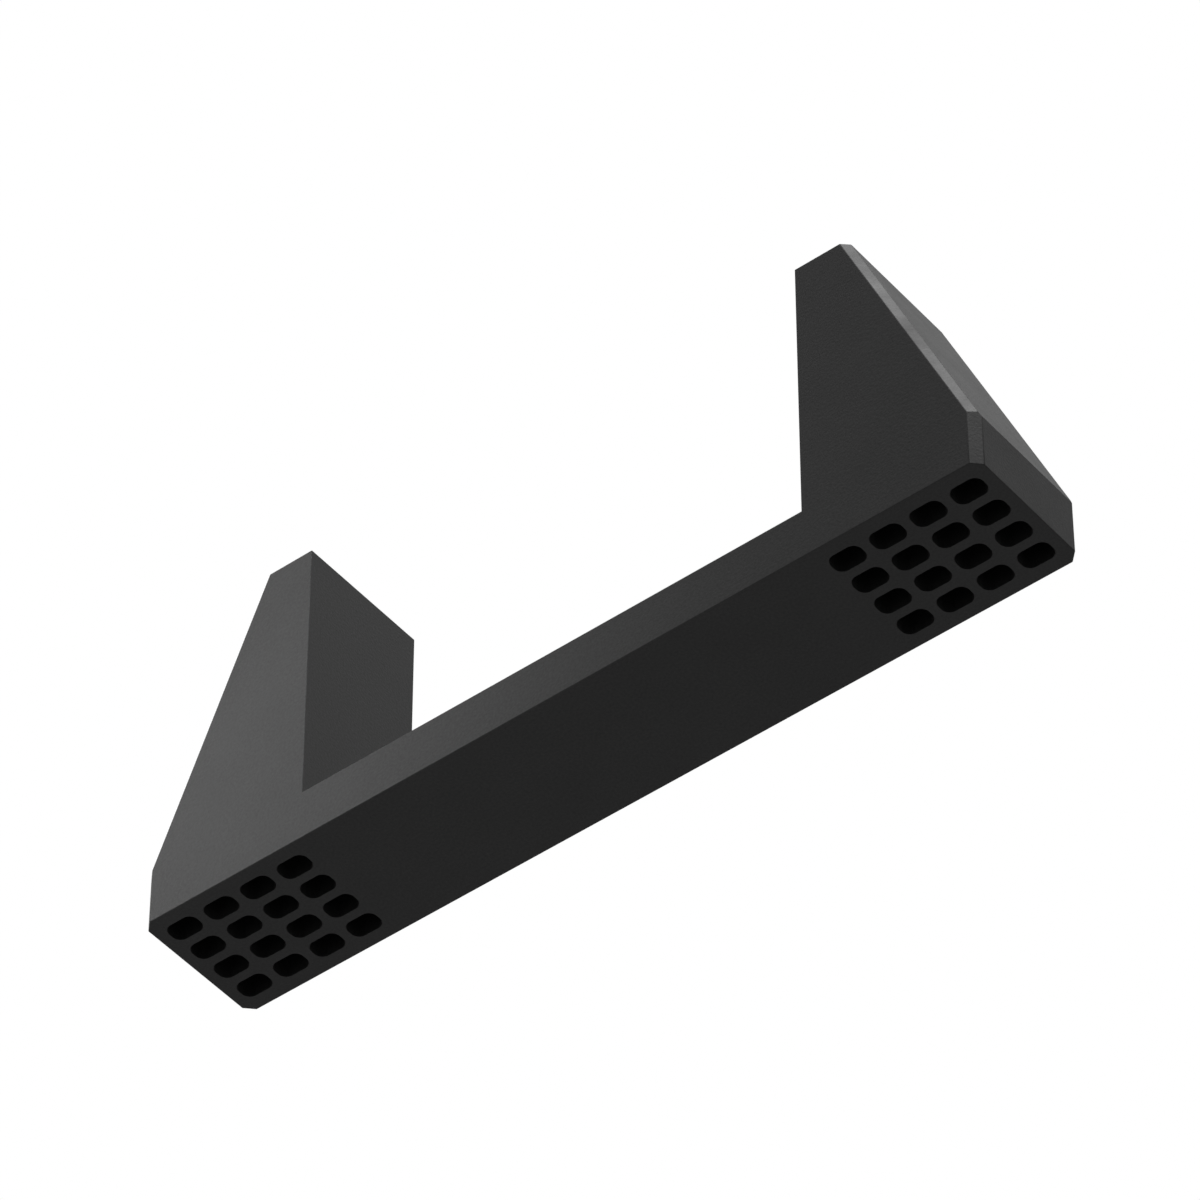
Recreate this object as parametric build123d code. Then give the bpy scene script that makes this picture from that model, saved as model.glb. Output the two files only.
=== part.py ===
from build123d import *
import os

# U-shaped stand bracket, moulded in one piece: a flat bar with a tapered arm at each end.
# Millimetres, +Z up. The origin is on the floor under the middle of the bar.
# X runs along the bar and Y across it.

# Overall form
SLOT_WIDTH = 60.0  # clear gap between the inner faces of the arms
BAR_THICKNESS = 6.0  # floor to the seat between the arms
DEPTH = 16.0  # bracket from front to back
ARM_FOOT = 20.0  # each arm at the floor, along the bar
ARM_TOP = 6.2  # flat top of each arm, along the bar
ARM_HEIGHT = 39.2  # floor to the top of the arms
END_HEIGHT = 6.4  # upright end face under the slope
EDGE_RADIUS = 1.0  # rounding of the upright and sloping outer edges

# Cored feet: a grid of blind pockets, open to the floor, under each arm
POCKET_LENGTH = 3.55  # along the bar
POCKET_WIDTH = 2.4  # across the bar
POCKET_RADIUS = 0.95  # corners of a pocket in plan
POCKET_DEPTH = 6.0  # up from the floor
RIB = 1.05  # wall between neighbouring pockets
RIM = 1.2  # least wall between the grid and the outside of the foot


def bracket_body():
    """The solid bracket: its outline in XZ drawn across DEPTH, with the outer edges rounded."""
    inner = SLOT_WIDTH / 2
    shoulder = inner + ARM_TOP
    end = inner + ARM_FOOT
    half_outline = [
        (end, 0),
        (end, END_HEIGHT),
        (shoulder, ARM_HEIGHT),
        (inner, ARM_HEIGHT),
        (inner, BAR_THICKNESS),
    ]
    mirrored = [(-x, z) for x, z in reversed(half_outline)]
    outline = Plane.XZ * make_face(Polyline(*half_outline, *mirrored, close=True))
    body = extrude(outline, amount=DEPTH / 2, both=True)
    sides = body.faces().filter_by(Axis.Y)
    outer_edges = [edge for edge in sides.edges() if abs(edge.center().X) > shoulder]
    return fillet(outer_edges, radius=EDGE_RADIUS)


def count_across(room, size):
    """How many pockets of one size, a rib apart, go into the room."""
    return int((room + RIB) // (size + RIB))


def foot_pockets(foot_center):
    """The grid of pockets under the foot centred at this X."""
    grid = GridLocations(
        POCKET_LENGTH + RIB,
        POCKET_WIDTH + RIB,
        count_across(ARM_FOOT - 2 * RIM, POCKET_LENGTH),
        count_across(DEPTH - 2 * RIM, POCKET_WIDTH),
    )
    mouth = RectangleRounded(POCKET_LENGTH, POCKET_WIDTH, POCKET_RADIUS)
    pocket = extrude(mouth, amount=POCKET_DEPTH)
    return [Pos(foot_center, 0, 0) * place * pocket for place in grid]


def stand_bracket():
    """The bracket with both feet cored."""
    foot_center = (SLOT_WIDTH + ARM_FOOT) / 2
    bracket = bracket_body()
    for side in (-1, 1):
        bracket -= foot_pockets(side * foot_center)
    return bracket


os.makedirs("parts", exist_ok=True)
export_step(stand_bracket(), "parts/stand_bracket.step")
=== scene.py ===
import math

import bmesh
import bpy
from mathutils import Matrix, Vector


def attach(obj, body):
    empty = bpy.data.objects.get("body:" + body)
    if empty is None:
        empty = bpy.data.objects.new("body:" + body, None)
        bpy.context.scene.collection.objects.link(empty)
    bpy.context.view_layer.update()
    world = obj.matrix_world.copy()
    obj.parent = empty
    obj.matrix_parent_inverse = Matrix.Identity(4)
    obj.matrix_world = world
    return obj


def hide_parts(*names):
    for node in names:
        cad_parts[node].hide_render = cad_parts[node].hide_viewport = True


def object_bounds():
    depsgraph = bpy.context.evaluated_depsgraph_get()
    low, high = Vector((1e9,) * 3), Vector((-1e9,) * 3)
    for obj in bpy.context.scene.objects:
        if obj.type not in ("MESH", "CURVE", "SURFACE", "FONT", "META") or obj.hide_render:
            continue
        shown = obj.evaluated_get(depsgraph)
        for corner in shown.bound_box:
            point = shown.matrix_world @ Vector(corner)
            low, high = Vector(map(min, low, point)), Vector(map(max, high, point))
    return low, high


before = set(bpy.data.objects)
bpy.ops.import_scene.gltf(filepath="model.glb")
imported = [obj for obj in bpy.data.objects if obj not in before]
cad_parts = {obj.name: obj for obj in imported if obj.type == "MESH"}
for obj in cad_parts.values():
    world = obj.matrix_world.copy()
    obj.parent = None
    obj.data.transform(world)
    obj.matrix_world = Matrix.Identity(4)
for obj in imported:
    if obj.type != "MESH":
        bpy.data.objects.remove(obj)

cad_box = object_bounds()

# Names from the frame
NODE = "stand_bracket"
BODY = "root"

# Edges, in metres
WELD = 1e-6  # vertices closer than this are one
FLAT = math.radians(0.2)  # faces that turn less than this are one flat
BEND = math.radians(3)  # edges across the bar that turn more than this are creases
SHARP = math.radians(40)  # edges that turn more than this are corners
ACROSS = 0.1  # least share of Y in the direction of an edge across the bar
ROUNDING = 0.001  # radius of the outer edges of the arms in the frame
CORNER_REACH = 1.5 * ROUNDING  # a rounding lies nearer than this to its sharp corner
UPRIGHT_CHAMFER = 0.001  # legs of the flat chamfers beside the end faces
SLOPE_CHAMFER = 0.00075  # legs of the flat chamfers beside the slopes
EDGE_BREAK = 0.00008  # width of the broken corners
BREAK_SEGMENTS = 3
BREAK_PROFILE = 0.5  # round

# Cored feet, in metres
FOOT_START = 0.0305  # from the middle of the bar to the feet
RIM = 0.0011  # outside of the feet, clear of the pocket mouths
POCKET_TOP = 0.0065  # clear of the blind ends of the pockets

# Black plastic
SATIN = {"dark": 0.029, "light": 0.046, "smooth": 0.58, "rough": 0.68}  # outside
POCKET_PAINTED_SHADE = {"dark": 0.013, "light": 0.018, "smooth": 0.40, "rough": 0.50}  # in the pockets: a darker tone as painted shade in the recesses, and smoother
IOR = 1.5
SPECULAR = 0.11
GRAIN_SCALE = 3400.0
GRAIN_DETAIL = 3.0
GRAIN_STRENGTH = 0.5
GRAIN_DEPTH = 0.00005
MOTTLE_SCALE = 160.0
MOTTLE_DETAIL = 4.0
NOISE_ROUGHNESS = 0.6
NOISE_LOW = 0.3  # noise below this is dark and smooth
NOISE_HIGH = 0.7  # noise above this is light and rough
SPECKLE = 0.6  # share of the grain in the tone, with the rest from the mottling

# Camera, about the origin of the part
CAMERA_AZIMUTH = math.radians(38.4)
CAMERA_ELEVATION = math.radians(-44.3)
CAMERA_DISTANCE = 0.705
NEAR_CLIP = 0.01
LENS = 225.0
SENSOR = 36.0

# Lamps, in metres and degrees
KEY_PLACE = Vector((-0.26, -0.27, 0.06))
KEY_TARGET = Vector((-0.052, 0, 0.020))  # low on the front of the left arm
KEY_SPREAD = 14
TOP_PLACE = Vector((0.13, -0.055, 0.53))
BACK_PLACE = Vector((-0.30, 0.42, 0.24))
FULL_SPREAD = 180

# Floor and background
FLOOR_HALF = 1.5
FLOOR_DROP = 0.0002  # below the part
FLOOR_COLOR = (0.64, 0.64, 0.64, 1.0)
FADE_START = 0.08  # from the origin
FADE_END = 0.20
WHITE = (1.0, 1.0, 1.0, 1.0)
AMBIENT = 0.19


def add_node(tree, kind, **values):
    """A shader node with these properties and input values set."""
    node = tree.nodes.new(kind)
    for name, value in values.items():
        if name in node.inputs:
            node.inputs[name].default_value = value
        else:
            setattr(node, name, value)
    return node


def new_material(name):
    """A material with an empty node tree and its output node."""
    material = bpy.data.materials.new(name)
    material.use_nodes = True
    material.node_tree.nodes.clear()
    return material, add_node(material.node_tree, "ShaderNodeOutputMaterial")


def noise(tree, scale, detail):
    """A fine noise pattern."""
    return add_node(tree, "ShaderNodeTexNoise", Scale=scale, Detail=detail, Roughness=NOISE_ROUGHNESS)


def black_plastic(name, dark, light, smooth, rough):
    """Black moulded plastic with a fine even grain. Its tone and roughness drift between two values."""
    material, output = new_material(name)
    tree = material.node_tree
    shader = add_node(tree, "ShaderNodeBsdfPrincipled", IOR=IOR)
    shader.inputs["Specular IOR Level"].default_value = SPECULAR
    place = add_node(tree, "ShaderNodeTexCoord")
    grain = noise(tree, GRAIN_SCALE, GRAIN_DETAIL)
    mottle = noise(tree, MOTTLE_SCALE, MOTTLE_DETAIL)
    speckle = add_node(tree, "ShaderNodeMix", Factor=SPECKLE)
    tone = add_node(tree, "ShaderNodeValToRGB")
    tone.color_ramp.elements[0].position = NOISE_LOW
    tone.color_ramp.elements[0].color = (dark, dark, dark, 1.0)
    tone.color_ramp.elements[1].position = NOISE_HIGH
    tone.color_ramp.elements[1].color = (light, light, light, 1.0)
    gloss = add_node(tree, "ShaderNodeMapRange")
    gloss.inputs["From Min"].default_value = NOISE_LOW
    gloss.inputs["From Max"].default_value = NOISE_HIGH
    gloss.inputs["To Min"].default_value = smooth
    gloss.inputs["To Max"].default_value = rough
    bump = add_node(tree, "ShaderNodeBump", Strength=GRAIN_STRENGTH, Distance=GRAIN_DEPTH)
    link = tree.links.new
    link(place.outputs["Object"], grain.inputs["Vector"])
    link(place.outputs["Object"], mottle.inputs["Vector"])
    link(mottle.outputs["Fac"], speckle.inputs["A"])
    link(grain.outputs["Fac"], speckle.inputs["B"])
    link(speckle.outputs["Result"], tone.inputs["Fac"])
    link(tone.outputs["Color"], shader.inputs["Base Color"])
    link(mottle.outputs["Fac"], gloss.inputs["Value"])
    link(gloss.outputs["Result"], shader.inputs["Roughness"])
    link(grain.outputs["Fac"], bump.inputs["Height"])
    link(bump.outputs["Normal"], shader.inputs["Normal"])
    link(shader.outputs["BSDF"], output.inputs["Surface"])
    return material


def middle(edge):
    """The point halfway along an edge."""
    return (edge.verts[0].co + edge.verts[1].co) / 2


def in_foot(point):
    """True inside the rim of a foot, in plan."""
    return FOOT_START < abs(point.x) < cad_box[1].x - RIM and abs(point.y) < cad_box[1].y - RIM


def on_outside(edge):
    """True unless the edge is at the mouth of a pocket."""
    return middle(edge).z > EDGE_BREAK or not in_foot(middle(edge))


def in_pocket(face):
    """True for the walls and the blind end of a pocket."""
    center = face.calc_center_median()
    return EDGE_BREAK < center.z < POCKET_TOP and in_foot(center)


def is_corner(edge):
    """True for a sharp outer edge, not at a pocket."""
    return edge.is_convex and edge.calc_face_angle() > SHARP and on_outside(edge)


def is_crease(edge):
    """True for a sharp corner, and for the bend across the bar where a slope meets the end face."""
    along = (edge.verts[1].co - edge.verts[0].co).normalized()
    turn = edge.calc_face_angle()
    clear = 2 * EDGE_BREAK
    on_flank = clear < middle(edge).z < cad_box[1].z - clear
    return turn > SHARP or (turn > BEND and on_flank and abs(along.y) > ACROSS)


def square_corners(mesh):
    """Takes the rounded outer edges of the arms out to sharp edges and gives the points along those edges."""
    front = cad_box[1].y
    points = [vert for vert in mesh.verts if abs(abs(vert.co.y) - front + ROUNDING) < WELD]
    rounded = [vert for vert in mesh.verts if abs(vert.co.y) > front - ROUNDING + WELD]
    for point in points:
        point.co.y = math.copysign(front, point.co.y)
    targets = {}
    for vert in rounded:
        nearest = min(points, key=lambda point: (point.co - vert.co).length)
        if (nearest.co - vert.co).length < CORNER_REACH:
            targets[vert] = nearest
    bmesh.ops.weld_verts(mesh, targetmap=targets)
    return [point.co.copy() for point in points]


def cut_off(mesh, place, outward):
    """Cuts off what is beyond the plane at this place and closes the cut."""
    whole = mesh.verts[:] + mesh.edges[:] + mesh.faces[:]
    cut = bmesh.ops.bisect_plane(
        mesh,
        geom=whole,
        dist=WELD,
        plane_co=place,
        plane_no=outward.normalized(),
        clear_outer=True,
    )
    rim = [piece for piece in cut["geom_cut"] if isinstance(piece, bmesh.types.BMEdge)]
    bmesh.ops.contextual_create(mesh, geom=rim)


def chamfer_arms(mesh):
    """Cuts flat chamfers down the outer edges of the arms, in place of the rounded edges."""
    points = square_corners(mesh)
    end = cad_box[1].x
    for x in (-1, 1):
        for y in (-1, 1):
            edge = [point for point in points if point.x * x > 0 and point.y * y > 0]
            upright = [point for point in edge if abs(point.x) > end - WELD]
            knee = max(upright, key=lambda point: point.z)
            top = max(edge, key=lambda point: point.z)
            rise = (top - knee).normalized()
            across = Vector((0, y, 0))
            end_normal = Vector((x, 0, 0))
            slope_normal = Vector((x * rise.z, 0, -x * rise.x))
            cut_off(mesh, knee - across * UPRIGHT_CHAMFER, end_normal + across)
            cut_off(mesh, knee - across * SLOPE_CHAMFER, slope_normal + across)
    bmesh.ops.recalc_face_normals(mesh, faces=mesh.faces)


def moulded_bracket(outside, painted_pocket_shade):
    """The bracket with flat chamfers on its arms, and its sharp outer edges broken, as they leave a mould.
    Its pockets take a darker material, which is painted shade.
    """
    mesh = bmesh.new()
    mesh.from_mesh(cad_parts[NODE].data)
    bmesh.ops.remove_doubles(mesh, verts=mesh.verts, dist=WELD)
    chamfer_arms(mesh)
    bmesh.ops.dissolve_limit(mesh, angle_limit=FLAT, verts=mesh.verts, edges=mesh.edges)
    bmesh.ops.bevel(
        mesh,
        geom=[edge for edge in mesh.edges if is_corner(edge)],
        offset=EDGE_BREAK,
        segments=BREAK_SEGMENTS,
        profile=BREAK_PROFILE,
        affect="EDGES",
    )
    for edge in mesh.edges:
        edge.smooth = not is_crease(edge)
    for face in mesh.faces:
        face.smooth = True
        # Faces in the pockets take the second material, whose darker tone is painted shade in the recesses
        face.material_index = int(in_pocket(face))
    data = bpy.data.meshes.new("moulded_bracket")
    mesh.to_mesh(data)
    mesh.free()
    data.materials.append(outside)
    data.materials.append(painted_pocket_shade)
    piece = bpy.data.objects.new("moulded_bracket", data)
    bpy.context.scene.collection.objects.link(piece)
    piece.modifiers.new("normals", "WEIGHTED_NORMAL").keep_sharp = True
    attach(piece, BODY)
    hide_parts(NODE)


def floor():
    """A floor that shows only from above: it takes the part's shadow and fades to white around it."""
    material, output = new_material("floor")
    tree = material.node_tree
    pale = add_node(tree, "ShaderNodeBsdfDiffuse", Color=FLOOR_COLOR)
    white = add_node(tree, "ShaderNodeEmission", Color=WHITE, Strength=1.0)
    clear = add_node(tree, "ShaderNodeBsdfTransparent")
    place = add_node(tree, "ShaderNodeTexCoord")
    reach = add_node(tree, "ShaderNodeVectorMath", operation="LENGTH")
    fade = add_node(tree, "ShaderNodeMapRange", interpolation_type="SMOOTHSTEP")
    fade.inputs["From Min"].default_value = FADE_START
    fade.inputs["From Max"].default_value = FADE_END
    around = add_node(tree, "ShaderNodeMixShader")
    side = add_node(tree, "ShaderNodeNewGeometry")
    shown = add_node(tree, "ShaderNodeMixShader")
    link = tree.links.new
    link(place.outputs["Object"], reach.inputs[0])
    link(reach.outputs["Value"], fade.inputs["Value"])
    link(fade.outputs["Result"], around.inputs["Fac"])
    link(pale.outputs["BSDF"], around.inputs[1])
    link(white.outputs["Emission"], around.inputs[2])
    link(side.outputs["Backfacing"], shown.inputs["Fac"])
    link(around.outputs["Shader"], shown.inputs[1])
    link(clear.outputs["BSDF"], shown.inputs[2])
    link(shown.outputs["Shader"], output.inputs["Surface"])
    data = bpy.data.meshes.new("floor")
    signs = [(-1, -1), (1, -1), (1, 1), (-1, 1)]
    corners = [(x * FLOOR_HALF, y * FLOOR_HALF, -FLOOR_DROP) for x, y in signs]
    data.from_pydata(corners, [], [(0, 1, 2, 3)])
    data.materials.append(material)
    piece = bpy.data.objects.new("floor", data)
    bpy.context.scene.collection.objects.link(piece)
    piece.visible_diffuse = False
    piece.visible_glossy = False
    piece.visible_transmission = False
    piece.visible_shadow = False


def white_world():
    """White to the camera and in reflections, and a weaker even light on everything else."""
    world = bpy.data.worlds.new("white")
    bpy.context.scene.world = world
    world.use_nodes = True
    tree = world.node_tree
    tree.nodes.clear()
    output = add_node(tree, "ShaderNodeOutputWorld")
    path = add_node(tree, "ShaderNodeLightPath")
    camera_or_gloss = add_node(tree, "ShaderNodeMath", operation="MAXIMUM")
    shown = add_node(tree, "ShaderNodeMath", operation="MAXIMUM")
    level = add_node(tree, "ShaderNodeMapRange")
    level.inputs["To Min"].default_value = AMBIENT
    level.inputs["To Max"].default_value = 1.0
    background = add_node(tree, "ShaderNodeBackground", Color=WHITE)
    link = tree.links.new
    link(path.outputs["Is Camera Ray"], camera_or_gloss.inputs[0])
    link(path.outputs["Is Glossy Ray"], camera_or_gloss.inputs[1])
    link(camera_or_gloss.outputs["Value"], shown.inputs[0])
    link(path.outputs["Is Transmission Ray"], shown.inputs[1])
    link(shown.outputs["Value"], level.inputs["Value"])
    link(level.outputs["Result"], background.inputs["Strength"])
    link(background.outputs["Background"], output.inputs["Surface"])


def soft_lamp(name, place, target, size, power, spread=FULL_SPREAD):
    """A square soft lamp that faces the target."""
    data = bpy.data.lights.new(name, "AREA")
    data.size = size
    data.spread = math.radians(spread)
    data.energy = power
    lamp = bpy.data.objects.new(name, data)
    lamp.location = place
    lamp.rotation_euler = (target - lamp.location).to_track_quat("-Z", "Y").to_euler()
    lamp.visible_camera = False
    bpy.context.scene.collection.objects.link(lamp)


def camera(target):
    """The camera, below the part and to one side of its front."""
    data = bpy.data.cameras.new("camera")
    data.lens = LENS
    data.sensor_width = SENSOR
    data.clip_start = NEAR_CLIP
    piece = bpy.data.objects.new("camera", data)
    level = math.cos(CAMERA_ELEVATION)
    direction = Vector((
        math.sin(CAMERA_AZIMUTH) * level,
        -math.cos(CAMERA_AZIMUTH) * level,
        math.sin(CAMERA_ELEVATION),
    ))
    piece.location = CAMERA_DISTANCE * direction
    piece.rotation_euler = (target - piece.location).to_track_quat("-Z", "Y").to_euler()
    bpy.context.scene.collection.objects.link(piece)
    bpy.context.scene.camera = piece


bpy.context.scene.view_settings.view_transform = "Standard"
center = (cad_box[0] + cad_box[1]) / 2
satin = black_plastic("satin_black_plastic", **SATIN)
pocket_shade_plastic = black_plastic("black_plastic_with_painted_pocket_shade", **POCKET_PAINTED_SHADE)
moulded_bracket(satin, pocket_shade_plastic)
floor()
white_world()
soft_lamp("key", KEY_PLACE, KEY_TARGET, size=0.08, power=0.040, spread=KEY_SPREAD)
soft_lamp("top", TOP_PLACE, center, size=0.10, power=3.0)
soft_lamp("back", BACK_PLACE, center, size=0.30, power=1.8)
camera(center)
